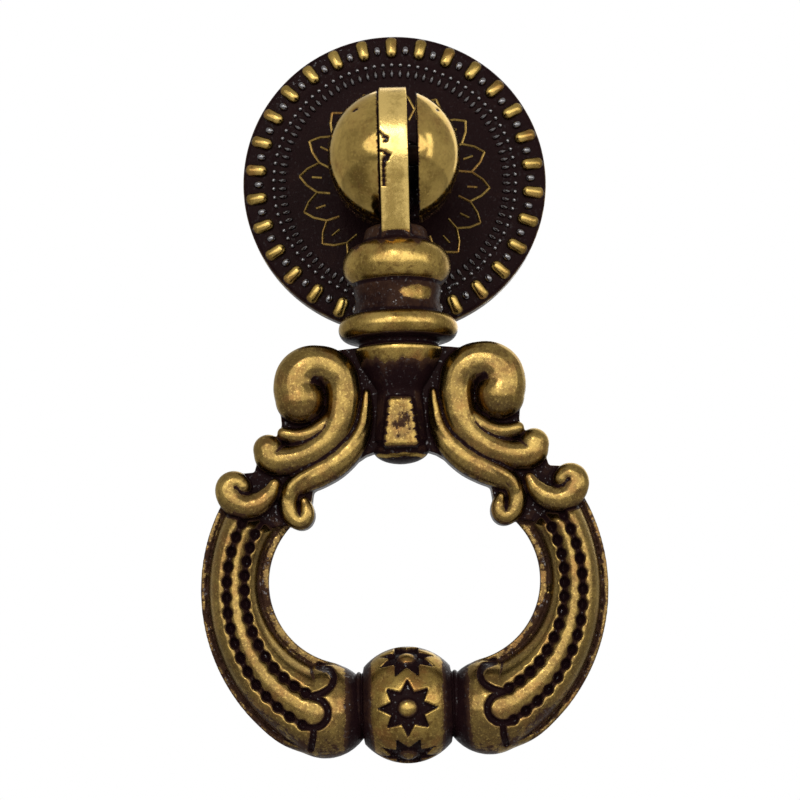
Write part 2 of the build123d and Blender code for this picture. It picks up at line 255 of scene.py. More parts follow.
def eased(corners, rounding, steps=4):
    """Outline with each inner corner turned into a short curve."""
    points = [corners[0]]
    for before, corner, after in zip(corners, corners[1:], corners[2:]):
        corner = Vector(corner)
        inward = Vector(before) - corner
        onward = Vector(after) - corner
        reach = min(rounding, inward.length * 0.45, onward.length * 0.45)
        start = corner + inward.normalized() * reach
        end = corner + onward.normalized() * reach
        for step in range(steps + 1):
            share = step / steps
            bend = start * (1 - share) ** 2 + corner * 2 * share * (1 - share) + end * share ** 2
            points.append(tuple(bend))
    points.append(corners[-1])
    return points


def stepped(outline, longest):
    """The same outline with long straight runs divided."""
    points = [outline[0]]
    for start, end in zip(outline, outline[1:]):
        count = max(1, math.ceil(math.dist(start, end) / longest))
        for step in range(1, count + 1):
            share = step / count
            points.append((start[0] + (end[0] - start[0]) * share, start[1] + (end[1] - start[1]) * share))
    return points


def ring_copies(obj, count, start=0.0):
    """Copies of a part about the rosette's axis, each with its own mesh."""
    copies = [obj] + [own_copy(obj) for _ in range(1, count)]
    for index, copy in enumerate(copies):
        copy.data.transform(Matrix.Rotation(2 * math.pi * index / count + start, 4, "Y"))
    return copies


def mirrored(obj, name):
    """The same part on the other side of the middle."""
    other = own_copy(obj)
    other.name = name
    other.data.name = name
    other.data.transform(Matrix.Scale(-1, 4, (1, 0, 0)))
    other.data.flip_normals()
    return other


def cast_together(obj, voxel, softness):
    """Melts overlapping forms into one closed skin, as a casting is."""
    skin = obj.modifiers.new("skin", "REMESH")
    skin.mode = "VOXEL"
    skin.voxel_size = voxel * MM
    soften = obj.modifiers.new("soften", "SMOOTH")
    soften.factor = 0.5
    soften.iterations = softness
    apply_modifiers(obj)
    return obj


def coordinates(obj):
    """Places of a mesh's points in millimetres."""
    values = np.empty(len(obj.data.vertices) * 3, np.float64)
    obj.data.vertices.foreach_get("co", values)
    return values.reshape(-1, 3) / MM


def normals(obj):
    values = np.empty(len(obj.data.vertices) * 3, np.float32)
    obj.data.vertices.foreach_get("normal", values)
    return values.reshape(-1, 3).astype(np.float64)


def move_points(obj, places):
    obj.data.vertices.foreach_set("co", (places * MM).astype(np.float32).ravel())
    obj.data.update()


def spread(values, pairs, rounds):
    """Averages the columns of values over neighbouring points, several times."""
    count = len(values)
    first = pairs[:, 0]
    second = pairs[:, 1]
    neighbours = np.bincount(first, minlength=count) + np.bincount(second, minlength=count)
    neighbours = np.maximum(neighbours, 1)
    result = []
    for column in values.T:
        for _ in range(rounds):
            total = np.bincount(first, weights=column[second], minlength=count)
            total += np.bincount(second, weights=column[first], minlength=count)
            column = 0.4 * column + 0.6 * total / neighbours
        result.append(column)
    return np.stack(result, axis=1)


def hollow(obj, rounds):
    """How far each point lies below its surroundings, in millimetres; proud points are negative."""
    pairs = np.empty(len(obj.data.edges) * 2, np.int32)
    obj.data.edges.foreach_get("vertices", pairs)
    places = coordinates(obj)
    around = spread(places, pairs.reshape(-1, 2), rounds)
    return np.einsum("ij,ij->i", around - places, normals(obj))


def step_up(values, low, high):
    """0 up to low, 1 from high on, and a soft step between."""
    share = np.clip((values - low) / (high - low), 0, 1)
    return share * share * (3 - 2 * share)


def stretch(values, start, full, fade, end):
    """1 from full to fade, with soft ends."""
    return step_up(values, start, full) * (1 - step_up(values, fade, end))


def mark(obj, name, values):
    """Stores a value per point, or one for all points, for the materials."""
    attribute = obj.data.attributes.get(name) or obj.data.attributes.new(name, "FLOAT", "POINT")
    attribute.data.foreach_set("value", np.broadcast_to(values, len(attribute.data)).astype(np.float32))


def dress(obj, material, angle=None):
    """Smooth shading, with edges sharper than the angle kept, and one material."""
    pick(obj)
    if angle is None:
        bpy.ops.object.shade_smooth()
    else:
        bpy.ops.object.shade_smooth_by_angle(angle=math.radians(angle))
    obj.data.materials.clear()
    obj.data.materials.append(material)


# Camera, light and floor


def set_camera():
    data = bpy.data.cameras.new("camera")
    data.lens = CAMERA_LENS
    data.sensor_width = 36
    data.clip_start = 0.01
    camera = linked("camera", data)
    place = Matrix.Translation(Vector(CAMERA_PLACE) * MM)
    tilt = Matrix.Rotation(math.radians(90 + CAMERA_TILT), 4, "X")
    roll = Matrix.Rotation(math.radians(CAMERA_ROLL), 4, "Z")
    camera.matrix_world = place @ tilt @ roll
    bpy.context.scene.camera = camera
    bpy.context.scene.view_settings.view_transform = "Standard"


def add_lamp(name, place, aim, width, height, watts, shape):
    data = bpy.data.lights.new(name, "AREA")
    data.shape = shape
    data.size = width
    data.size_y = height
    data.energy = watts
    lamp = linked(name, data)
    lamp.location = place
    lamp.rotation_euler = (Vector(aim) - Vector(place)).to_track_quat("-Z", "Y").to_euler()
    lamp.visible_camera = False


def show_pale(tree, strength, lighting, shown):
    """One strength for what the camera, metal and glass see, and another for the light that is cast."""
    path = tree.nodes.new("ShaderNodeLightPath")
    seen = path.outputs["Is Camera Ray"]
    for other in ("Is Glossy Ray", "Is Transmission Ray"):
        seen = math_node(tree, "MAXIMUM", seen, path.outputs[other])
    level = tree.nodes.new("ShaderNodeMapRange")
    level.inputs["To Min"].default_value = lighting
    level.inputs["To Max"].default_value = shown
    tree.links.new(seen, level.inputs["Value"])
    tree.links.new(level.outputs[0], strength)


def set_light():
    for lamp in LAMPS:
        add_lamp(*lamp)
    world = bpy.data.worlds.new("studio")
    bpy.context.scene.world = world
    world.use_nodes = True
    background = world.node_tree.nodes["Background"]
    background.inputs["Color"].default_value = (1, 1, 1, 1)
    show_pale(world.node_tree, background.inputs["Strength"], 0.15, 1.0)


def make_floor():
    floor = added(bpy.ops.mesh.primitive_plane_add, (0, 0, -160), size=1.2)
    floor.name = "floor"
    paper = bpy.data.materials.new("floor_paper")
    paper.use_nodes = True
    shader = paper.node_tree.nodes["Principled BSDF"]
    shader.inputs["Base Color"].default_value = (0.6, 0.6, 0.6, 1)
    shader.inputs["Roughness"].default_value = 0.9
    shader.inputs["Emission Color"].default_value = (1, 1, 1, 1)
    show_pale(paper.node_tree, shader.inputs["Emission Strength"], 0.0, 0.36)
    floor.data.materials.append(paper)


# Materials


def noise(tree, vector, scale, detail, roughness=0.55):
    node = tree.nodes.new("ShaderNodeTexNoise")
    node.inputs["Scale"].default_value = scale
    node.inputs["Detail"].default_value = detail
    node.inputs["Roughness"].default_value = roughness
    tree.links.new(vector, node.inputs["Vector"])
    return node.outputs["Fac"]


def feed(tree, socket, value):
    """Links a socket, or sets it to a plain value."""
    if isinstance(value, bpy.types.NodeSocket):
        tree.links.new(value, socket)
    else:
        socket.default_value = value


def marked(tree, name):
    """The value that a piece carries per point under this name."""
    node = tree.nodes.new("ShaderNodeAttribute")
    node.attribute_name = name
    return node.outputs["Fac"]


def math_node(tree, operation, first, second):
    node = tree.nodes.new("ShaderNodeMath")
    node.operation = operation
    feed(tree, node.inputs[0], first)
    feed(tree, node.inputs[1], second)
    return node.outputs[0]


def times(tree, first, second):
    return math_node(tree, "MULTIPLY", first, second)


def ramp(tree, value, low, high, to_low=0.0, to_high=1.0):
    node = tree.nodes.new("ShaderNodeMapRange")
    node.interpolation_type = "SMOOTHSTEP"
    for name, amount in (("From Min", low), ("From Max", high), ("To Min", to_low), ("To Max", to_high)):
        node.inputs[name].default_value = amount
    tree.links.new(value, node.inputs["Value"])
    return node.outputs["Result"]


def mix_colour(tree, share, first, second):
    node = tree.nodes.new("ShaderNodeMix")
    node.data_type = "RGBA"
    feed(tree, node.inputs["Factor"], share)
    for socket, value in ((node.inputs[6], first), (node.inputs[7], second)):
        feed(tree, socket, (*value, 1) if isinstance(value, tuple) else value)
    return node.outputs[2]


def rubbed_patina_group():
    """Where the brass is rubbed bare and where the dark patina stays, with its grain; the level it reads also
    carries painted shade.
    """
    group = bpy.data.node_groups.new("rubbed_patina", "ShaderNodeTree")
    group.interface.new_socket(name="Vector", in_out="INPUT", socket_type="NodeSocketVector")
    for name, value in (
        ("Rub And Shade", 0.5), ("Gloss", 0.3), ("Edge Wander", 0.3), ("Roughness Scale", 1.0), ("Mottle", 0.5),
        ("Dull And Shade", 0.0),
    ):
        socket = group.interface.new_socket(name=name, in_out="INPUT", socket_type="NodeSocketFloat")
        socket.default_value = value
    for name in ("Bare", "Colour", "Roughness", "Glint", "Height"):
        kind = "NodeSocketColor" if name == "Colour" else "NodeSocketFloat"
        group.interface.new_socket(name=name, in_out="OUTPUT", socket_type=kind)
    inlet = group.nodes.new("NodeGroupInput")
    outlet = group.nodes.new("NodeGroupOutput")
    vector = inlet.outputs["Vector"]

    broad = noise(group, vector, 420, 3)
    ragged = noise(group, vector, 1900, 4, 0.7)
    grain = noise(group, vector, 4300, 3, 0.6)
    wander = math_node(group, "ADD", times(group, broad, 0.5), times(group, ragged, 0.5))
    wander = times(group, math_node(group, "SUBTRACT", wander, 0.5), inlet.outputs["Edge Wander"])
    level = math_node(group, "ADD", inlet.outputs["Rub And Shade"], wander)
    bare = ramp(group, level, 0.46, 0.53)
    covered = math_node(group, "SUBTRACT", 1.0, bare)

    # Gold: an uneven tone, brown where it is only just bare, stained in spots and pale where it is polished
    tone = ramp(group, noise(group, vector, 260, 3), 0.36, 0.64)
    gold = mix_colour(group, tone, (0.1274, 0.08142, 0.02006), (0.2336, 0.1558, 0.0413))
    gold = mix_colour(group, ramp(group, level, 0.50, 0.80), (0.0708, 0.04366, 0.01534), gold)
    warm = ramp(group, noise(group, vector, 330, 4, 0.6), 0.48, 0.68)
    flecks = ramp(group, noise(group, vector, 3300, 2), 0.60, 0.72)
    stain = ramp(group, noise(group, vector, 1250, 5, 0.7), 0.50, 0.64)
    for share, colour in (
        (times(group, warm, 0.65), (0.1416, 0.059, 0.0177)),
        (times(group, flecks, 0.6), (0.0649, 0.03068, 0.01416)),
        (times(group, stain, inlet.outputs["Mottle"]), (0.07788, 0.04248, 0.0118)),
        # A darker gold: in part a duller finish, in part painted shade.
        (inlet.outputs["Dull And Shade"], (0.0826, 0.05428, 0.02124)),
        (times(group, ramp(group, grain, 0.52, 0.72), 0.35), (0.4248, 0.295, 0.0885)),
        (times(group, ramp(group, level, 0.82, 1.12), 0.7), (0.3363, 0.2313, 0.06608)),
        (ramp(group, level, 1.12, 1.32), (0.5192, 0.3658, 0.118)),
    ):
        gold = mix_colour(group, share, gold, colour)

    # Patina: almost black where it lies thick, brown where it is thin
    dark = mix_colour(group, broad, (0.00572, 0.00234, 0.00273), (0.01014, 0.00403, 0.00455))
    dark = mix_colour(group, ramp(group, level, 0.12, 0.46), dark, (0.02925, 0.01365, 0.00806))

    rough = times(group, bare, ramp(group, grain, 0.3, 0.7, 0.32, 0.22))
    rough = math_node(group, "ADD", rough, times(group, covered, 0.30))
    speck = ramp(group, noise(group, vector, 3000, 3, 0.6), 0.58, 0.68)
    glint = math_node(group, "MAXIMUM", speck, ramp(group, inlet.outputs["Gloss"], 0.5, 0.7))
    glint = times(group, times(group, glint, covered), inlet.outputs["Gloss"])
    height = math_node(group, "ADD", times(group, grain, 0.5), times(group, bare, -0.4))
    pitted = times(group, math_node(group, "SUBTRACT", 1.3, bare), ragged)
    height = math_node(group, "ADD", height, times(group, pitted, 1.6))
    for name, value in (
        ("Bare", bare), ("Colour", mix_colour(group, bare, dark, gold)),
        ("Roughness", times(group, rough, inlet.outputs["Roughness Scale"])),
        ("Glint", glint), ("Height", height),
    ):
        group.links.new(value, outlet.inputs[name])
    return group


def antique_brass(
    name, group, wander, mottle, dull_and_shade=0.0, plain_rub=None, bump_strength=0.6, roughness_scale=1.0
):
    material = bpy.data.materials.new(name)
    material.use_nodes = True
    tree = material.node_tree
    shader = tree.nodes["Principled BSDF"]
    place = tree.nodes.new("ShaderNodeTexCoord")
    patina = tree.nodes.new("ShaderNodeGroup")
    patina.node_tree = group
    tree.links.new(place.outputs["Object"], patina.inputs["Vector"])
    for socket, value in (
        ("Edge Wander", wander), ("Mottle", mottle), ("Dull And Shade", dull_and_shade),
        ("Roughness Scale", roughness_scale),
    ):
        patina.inputs[socket].default_value = value
    feed(tree, patina.inputs["Rub And Shade"], marked(tree, "rub_and_shade") if plain_rub is None else plain_rub)
    feed(tree, patina.inputs["Gloss"], marked(tree, "gloss"))
    bump = tree.nodes.new("ShaderNodeBump")
    bump.inputs["Strength"].default_value = bump_strength
    bump.inputs["Distance"].default_value = 0.04 * MM
    tree.links.new(patina.outputs["Height"], bump.inputs["Height"])
    tree.links.new(bump.outputs["Normal"], shader.inputs["Normal"])
    for outlet, socket in (
        ("Colour", "Base Color"), ("Bare", "Metallic"), ("Roughness", "Roughness"), ("Glint", "Coat Weight")
    ):
        tree.links.new(patina.outputs[outlet], shader.inputs[socket])
    for socket, value in (
        ("Coat Roughness", 0.09), ("Coat IOR", 2.0), ("Specular IOR Level", 0.012),
        ("Specular Tint", (0.88, 0.80, 0.64, 1)),
    ):
        shader.inputs[socket].default_value = value
    return material


# Rosette


def rosette_body():
    outline = eased([(2.95, 0), (16.0, 0), (16.0, -1.95), (15.7, -2.26), (13.3, -2.28), (12.6, -2.12),
                     (11.2, FIELD_Y), (2.95, FIELD_Y)], 0.25)
    outline.append((2.95, 0))
    return turned("rosette_body", stepped(outline, 0.9), "Y", (0, 0, 0), 240)


def rim_bar():
    """One pill-shaped bar, standing on the rim at the top, its outer end lower and wider."""
    bar = block((0, -2.25, 14.64), (1.24, 1.56, 2.36))
    start_edit(bar)
    bpy.ops.mesh.bevel(offset=0.6 * MM, segments=5, profile=0.5, affect="EDGES")
    end_edit()
    outward(bar)
    places = coordinates(bar)
    out = step_up(places[:, 2], 14.2, 15.9)
    places[:, 1] += 0.32 * out * (places[:, 1] < FIELD_Y)
    places[:, 0] *= 1.0 + 0.12 * out
    move_points(bar, places)
    return bar


def rim_pearl():
    """One low pearl between two bars."""
    pearl = sphere((0, -2.4, 14.3), 0.4, 20, 12)
    pearl.rotation_euler = (math.radians(90), 0, 0)
    pearl.scale = (1.0, 1.2, 0.9)
    settle(pearl)
    pearl.data.transform(Matrix.Rotation(math.pi / BAR_COUNT, 4, "Y"))
    return pearl


def milled_rib():
    """One of the small radial ribs around the field."""
    rib = sphere((0, -2.02, 11.85), 1.0, 10, 8)
    rib.scale = (0.25, 0.46, 0.5)
    return settle(rib)


def ridge_bead():
    """One of the small beads on the ridge outside the ribs."""
    bead = sphere((0, -2.22, 12.75), 0.25, 12, 8)
    bead.rotation_euler = (math.radians(90), 0, 0)
    return settle(bead)


def round_line(name, stations, handles, bevel_resolution, resolution):
    """A round bar along a line of (x, y, z, radius), drawn as a curve and turned into a mesh."""
    curve = bpy.data.curves.new(name, "CURVE")
    curve.dimensions = "3D"
    curve.bevel_depth = 1 * MM
    curve.bevel_resolution = bevel_resolution
    curve.resolution_u = resolution
    curve.use_fill_caps = True
    spline = curve.splines.new("BEZIER")
    spline.bezier_points.add(len(stations) - 1)
    for spot, (*place, radius) in zip(spline.bezier_points, stations):
        spot.co = Vector(place) * MM
        spot.radius = radius
        spot.handle_left_type = handles
        spot.handle_right_type = handles
    pick(linked(name, curve))
    bpy.ops.object.convert(target="MESH")
    return bpy.context.object


def relief_line(name, spots, radius):
    """A thin raised line on the field, through spots of (distance from the middle, degrees from the top)."""
    stations = []
    for reach, degrees in spots:
        lean = math.radians(degrees)
        stations.append((reach * math.sin(lean), FIELD_Y, reach * math.cos(lean), radius))
    return round_line(name, stations, "VECTOR", 2, 5)


def petal_lines():
    """One petal of the rosette, with a midrib."""
    near = relief_line("petal_near", [(6.9, -13.6), (8.25, -11.2), (9.3, -5.5), (10.05, 0)], PETAL_LINE)
    far = relief_line("petal_far", [(10.05, 0), (9.3, 5.5), (8.25, 11.0)], PETAL_LINE)
    midrib = relief_line("petal_midrib", [(7.7, 0), (8.75, 0)], 0.13)
    return join("petal", [near, far, midrib])


def make_rosette(material):
    body = rosette_body()
    bars = join("bars", ring_copies(rim_bar(), BAR_COUNT))
    pearls = join("pearls", ring_copies(rim_pearl(), BAR_COUNT))
    ribs = join("ribs", ring_copies(milled_rib(), RIB_COUNT) + ring_copies(ridge_bead(), RIB_COUNT))
    petals = join("petals", ring_copies(petal_lines(), PETAL_COUNT, math.radians(5.0)))

    x, y, z = coordinates(body).T
    mark(body, "rub_and_shade", np.maximum(0.12, step_up(np.hypot(x, z), 15.75, 15.95) * 0.48))
    x, y, z = coordinates(bars).T
    mark(bars, "rub_and_shade", 0.15 + 0.95 * step_up(-y, 2.05, 2.7) - 0.36 * step_up(np.hypot(x, z), 14.3, 15.7))
    mark(pearls, "rub_and_shade", 0.1)
    mark(ribs, "rub_and_shade", 0.05)
    mark(petals, "rub_and_shade", 0.42 + 0.27 * step_up(-coordinates(petals)[:, 1], 2.0, 2.1))
    for part, gloss in ((body, 0.025), (bars, 0.3), (pearls, 0.8), (ribs, 0.9), (petals, 0.0)):
        mark(part, "gloss", gloss)
    rosette = join("rosette", [body, bars, pearls, ribs, petals])
    dress(rosette, material, 40)
    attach(rosette, "rosette")
    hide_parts("backplate")


# Ball post


def make_ball(material):
    dome = oval((0, PIVOT_Y), BALL_RADIUS, BALL_RADIUS, -90, 14, 60)
    dome = [(max(0.0, radius), along) for radius, along in dome]
    rear = eased([dome[-1], (6.4, -7.75), (6.2, -7.55), (4.0, -7.55), (4.0, -3.3), (4.6, -2.65),
                  (4.6, FIELD_Y), (2.9, FIELD_Y), (2.9, 0), (1.65, 0), (1.65, -4.0), (0, -4.4)], 0.2)
    ball = turned("ball_post_dressed", dome + stepped(rear[1:], 0.6), "Y", (0, 0, 0), 200)
    cut_out(ball, block((SLOT_CENTRE_X, -15.05, 0), (SLOT_WIDTH, 20, 30)))
    cut_out(ball, crossing_rod(BALL_BORE, 30, 48))
    rounding = ball.modifiers.new("rounding", "BEVEL")
    rounding.width = 0.14 * MM
    rounding.segments = 3
    rounding.limit_method = "ANGLE"
    rounding.angle_limit = math.radians(50)
    apply_modifiers(ball)

    places = coordinates(ball)
    x, y, z = places.T
    nick = np.zeros(len(places))
    for nick_x, nick_z in ((-3.75, 3.4), (-3.5, 3.5), (4.35, 3.5)):
        away = np.hypot(x - nick_x, z - nick_z)
        nick = np.maximum(nick, (1 - step_up(away, 0.05, 0.3)) * (y < -14))
    y += NICK_DEPTH * nick
    move_points(ball, places)
    radial = np.sqrt(x ** 2 + (y - PIVOT_Y) ** 2 + z ** 2)
    rub_and_shade = 0.1 + 0.9 * step_up(radial, 6.3, 6.55) * step_up(-y, 9.9, 10.6)
    # Painted shade makes the lower part of the ball browner; the nicks are dark chips.
    rub_and_shade -= 0.16 * step_up(-z, 2.5, 6.0) + 0.7 * nick
    # Painted reflection: a reddish-brown patch on the lower left of the ball.
    rub_and_shade -= 0.24 * (1 - step_up(np.hypot(x + 3.4, z + 3.5), 0.3, 1.3)) * (y < -14)
    in_slot = np.abs(x - SLOT_CENTRE_X) < SLOT_WIDTH / 2 + 0.06
    rub_and_shade = np.where(in_slot, np.minimum(rub_and_shade, 0.25), rub_and_shade)
    skirt = stretch(-y, 7.4, 7.6, 7.75, 8.0) * step_up(radial, 6.9, 7.3)
    mark(ball, "rub_and_shade", np.maximum(rub_and_shade, 0.5 * skirt))
    mark(ball, "gloss", 0.4)
    dress(ball, material, 35)
    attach(ball, "rosette")
    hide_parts("ball_post")


# Pendant: neck


def neck_outline():
    """Half section of the turned neck from the shoulder down to the rounded boss."""
    outline = [(0, -7.4), (2.7, -7.4), (3.0, -7.6), (3.35, -8.9)]
    outline += oval((3.6, -11.25), 1.7, 2.05, 82, -82, 24)
    outline += eased([(4.3, -13.3), (4.35, -13.5), (4.1, -14.7), (4.35, -15.95), (4.4, -16.25)], 0.5)
    outline += oval((4.7, -17.5), 1.15, 1.2, 84, -84, 20)
    outline += eased([(3.9, -18.85), (3.85, -19.25), (4.3, -19.5), (4.35, -19.85), (4.0, -20.9), (3.2, -22.3),
                      (2.45, -23.5), (2.4, -23.9), (2.55, -26.0), (2.75, -28.5)], 0.4)
    outline += [(2.45, -28.75), (2.45, -28.95), (2.75, -29.2)]
    outline += oval((0, -29.25), 2.75, -1.45, 0, 90, 10)[:-1]
    return outline + [(0, -30.7)]


def make_tongue():
    """The raised plaque on the boss, wider and prouder at its foot."""
    tongue = block((0, -13.6, -26.85), (2.5, 3.1, 5.0))
    places = coordinates(tongue)
    foot = places[:, 2] < -27
    places[foot, 0] *= 1.45
    places[foot & (places[:, 1] < -14), 1] -= 0.32
    move_points(tongue, places)
    start_edit(tongue)
    bpy.ops.mesh.bevel(offset=0.5 * MM, segments=4, affect="EDGES")
    end_edit()
    return tongue


def make_neck():
    turned_neck = turned("neck", stepped(neck_outline(), 0.5), "Z", (0, PIVOT_Y, 0), 128)
    eye = crossing_rod(EYE_RADIUS, EYE_THICKNESS, 160)
    side = [(-17.95, -3.0), (-15.3, -8.3), (-15.3, -9.4), (-8.4, -9.4), (-8.4, -1), (-12, 0)]
    tang = drawn("tang", [(-EYE_THICKNESS / 2, y, z) for y, z in side], [], [tuple(range(len(side)))])
    pushed_out(tang, (EYE_THICKNESS, 0, 0))
    neck = join("pendant_neck", [turned_neck, eye, tang, make_tongue()])
    cast_together(neck, NECK_VOXEL, 2)
    cut_out(neck, crossing_rod(EYE_BORE, 10, 64))
    return neck


# Pendant: scrollwork


def knob(x, z, radius, depth):
    return settle(sphere((x, depth, z), radius, 32, 20))


def band(stations, lift=0.0, round_start=False, round_end=False):
    """A tapering round band through stations of (x, z, radius), with a plain flat back behind it."""
    depth = PIVOT_Y - RELIEF - lift
    parts = [round_line("band", [(x, depth, z, radius) for x, z, radius in stations], "AUTO", 8, 14)]
    if round_start:
        parts.append(knob(*stations[0], depth))
    if round_end:
        parts.append(knob(*stations[-1], depth))
    for part in list(parts):
        backing = own_copy(part)
        places = coordinates(backing)
        places[:, 1] = np.clip(depth + (places[:, 1] - depth) * 12, depth, BACK_Y)
        move_points(backing, places)
        parts.append(backing)
    return parts


def make_web():
    """The sunk ground between the bands."""
    outline = [(0, -18.9), (5.9, -19.5), (9.6, -19.9), (11.4, -21.8), (11.7, -24.4), (11.5, -26.6),
               (11.6, -27.5), (13.4, -28.9), (13.95, -30.4), (14.2, -31.2), (15.6, -31.3), (17.0, -33.2),
               (17.2, -35.0), (15.6, -37.2), (11.6, -36.4), (10.2, -36.6), (8.9, -35.4), (8.6, -33.2),
               (5.6, -31.2), (3.4, -29.8), (2.2, -29.4), (0, -29.2)]
    web = drawn("web", [(x, WEB_Y, z) for x, z in outline], [], [tuple(range(len(outline)))])
    return pushed_out(web, (0, BACK_Y - WEB_Y, 0))


def make_scroll():
    volute = band(
        [(12.78, -29.09, 1.46), (12.49, -29.96, 1.49), (11.26, -30.16, 1.42), (9.78, -29.93, 1.38),
         (8.24, -29.28, 1.46), (6.86, -28.18, 1.53), (5.91, -26.69, 1.63), (5.51, -24.99, 1.65),
         (5.50, -23.25, 1.69), (6.14, -21.76, 1.88), (7.77, -21.02, 1.95), (9.44, -21.57, 2.15),
         (9.98, -22.90, 2.22), (9.66, -24.32, 2.38)],
        0.1, round_start=True, round_end=True,
    )
    rib = band(
        [(6.65, -26.37, 0.84), (7.68, -27.16, 0.92), (8.71, -27.69, 0.84), (10.04, -27.87, 0.75),
         (11.23, -27.63, 0.65)],
        0.45, round_end=True,
    )
    stem = band(
        [(3.18, -23.77, 0.34), (3.28, -25.12, 0.61), (3.55, -26.67, 0.84), (4.08, -28.07, 1.07),
         (5.07, -29.43, 1.30), (6.52, -30.68, 1.38), (8.01, -31.61, 1.26), (9.33, -32.21, 1.15),
         (10.41, -32.81, 1.00), (10.91, -33.78, 0.92), (10.87, -34.97, 0.88), (10.39, -35.77, 0.84),
         (9.69, -36.06, 0.82), (9.25, -35.56, 0.80), (9.20, -34.76, 0.65), (9.42, -34.08, 0.42)],
        0.1, round_start=True, round_end=True,
    )
    stem_ridge = band(
        [(3.22, -23.85, 0.25), (3.39, -25.44, 0.38), (3.73, -27.06, 0.50), (4.41, -28.34, 0.57),
         (5.45, -29.48, 0.61), (6.91, -30.47, 0.61), (8.40, -31.31, 0.61), (9.71, -32.03, 0.63),
         (10.45, -32.66, 0.59), (10.84, -33.51, 0.46)],
        0.72, round_start=True, round_end=True,
    )
    arm_scroll = band(
        [(12.16, -32.41, 0.50), (12.84, -33.52, 0.88), (13.99, -34.35, 1.15), (15.42, -34.42, 1.30),
         (16.36, -33.57, 1.34), (16.48, -32.55, 1.26), (15.88, -32.27, 1.15), (15.38, -32.60, 0.96)],
        0.75, round_start=True, round_end=True,
    )
    scroll = join("pendant_scroll_right", volute + rib + stem + stem_ridge + arm_scroll + [make_web()])
    return cast_together(scroll, SCROLL_VOXEL, 3)


# Pendant: reeded arms. Angles are in degrees about the ring centre, and 0 points sideways


def arm_inner_edge(angle):
    """Distance from the ring centre to the opening."""
    turn = np.radians(angle)
    along = OPENING_SHIFT[0] * np.cos(turn) + OPENING_SHIFT[1] * np.sin(turn)
    across = OPENING_SHIFT[0] * np.sin(turn) - OPENING_SHIFT[1] * np.cos(turn)
    return along + np.sqrt(np.maximum(OPENING_RADIUS ** 2 - across ** 2, 0))


def valley_places(angle):
    """Where the two valleys between the reeds lie across the arm, -1 at the opening and 1 outside."""
    angles = (-60, -35, 0, 30)
    outer = np.interp(angle, angles, (0.37, 0.33, 0.17, 0.13))
    inner = np.interp(angle, angles, (-0.22, -0.24, -0.34, -0.31))
    return outer, inner


def arm_place(angle, share):
    """Place in front view at a share of the arm's width."""
    inner = arm_inner_edge(angle)
    reach = (inner + OUTER_RADIUS) / 2 + share * (OUTER_RADIUS - inner) / 2
    turn = math.radians(angle)
    return RING_CENTRE[0] + reach * math.cos(turn), RING_CENTRE[1] + reach * math.sin(turn)


def fade_in(angle, end):
    """0 at the end of a reed or valley and 1 three degrees further up."""
    return min(1, max(0, (angle - end) / 3))


def arm_height(share, angle, half_width, into_bulb):
    """Height of the arm's front over its middle plane: a fin at each edge and three reeds between."""
    outer_gutter = 1 - 0.68 / half_width
    inner_gutter = -1 + 0.92 / half_width
    middle = (outer_gutter + inner_gutter) / 2
    inside = np.clip(1 - np.abs((share - middle) / ((outer_gutter - inner_gutter) / 2)) ** 2.3, 0, 1)
    height = 0.93 * half_width * np.sqrt(inside)
    fin = (share > 1 - 0.5 / half_width) | (share < -1 + 0.75 / half_width)
    height = np.where(fin, 0.5, height)
    height = height * (1 - into_bulb) + BULB_RADIUS * np.sqrt(np.clip(1 - share ** 2, 0, 1)) * into_bulb
    outer_valley, inner_valley = valley_places(angle)
    for low, high, end in (
        (outer_valley, outer_gutter, -60), (inner_valley, outer_valley, -57),
        (inner_gutter, inner_valley, -54),
    ):
        lean = (share - (low + high) / 2) / ((high - low) / 2)
        lobe = 1 - np.sqrt(np.clip(1 - lean ** 2, 0, 1))
        height = height - np.where(np.abs(lean) < 1, 0.5 * lobe * fade_in(angle, end), 0)
    for valley, end in ((outer_valley, -60), (inner_valley, -54)):
        away = (share - valley) * half_width
        height = height - 0.3 * fade_in(angle, end) * np.exp(-(away / 0.28) ** 2)
    return height


def make_arm():
    stations = 150
    across = 150
    shares = -np.cos(np.linspace(0, math.pi, across))
    rings = []
    for angle in np.linspace(37, BULB_ANGLE, stations):
        inner = arm_inner_edge(angle)
        into_bulb = float(step_up(-angle, 50, 62))
        half_width = (OUTER_RADIUS - inner) / 2 * (1 - into_bulb) + BULB_RADIUS * into_bulb
        middle = (OUTER_RADIUS + inner) / 2
        rise = float(step_up(-angle, -32, -24))
        front = arm_height(shares, angle, half_width, into_bulb) * (0.12 + 0.88 * rise)
        back = (0.74 * (1 - into_bulb) + 1.0 * into_bulb) * half_width * np.sqrt(1 - shares ** 2)
        reach = np.concatenate([middle + shares * half_width, middle + shares[::-1] * half_width])
        depth = np.concatenate([PIVOT_Y - front, PIVOT_Y + back[::-1]])
        turn = math.radians(angle)
        x = RING_CENTRE[0] + reach * math.cos(turn)
        z = RING_CENTRE[1] + reach * math.sin(turn)
        rings.append(np.stack([x, depth, z], axis=1))
    count = 2 * across
    points = [tuple(point) for point in np.concatenate(rings)]
    last = (stations - 1) * count
    faces = []
    for row in range(0, last, count):
        for column in range(count):
            after = (column + 1) % count
            faces.append((row + column, row + after, row + count + after, row + count + column))
    faces += [tuple(range(count)), tuple(range(last, last + count))[::-1]]
    arm = outward(drawn("arm", points, [], faces))
    arm = join("pendant_arm_right", [arm, knob(*arm_place(BULB_ANGLE, 0), BULB_RADIUS, PIVOT_Y)])
    return cast_together(arm, ARM_VOXEL, 2)


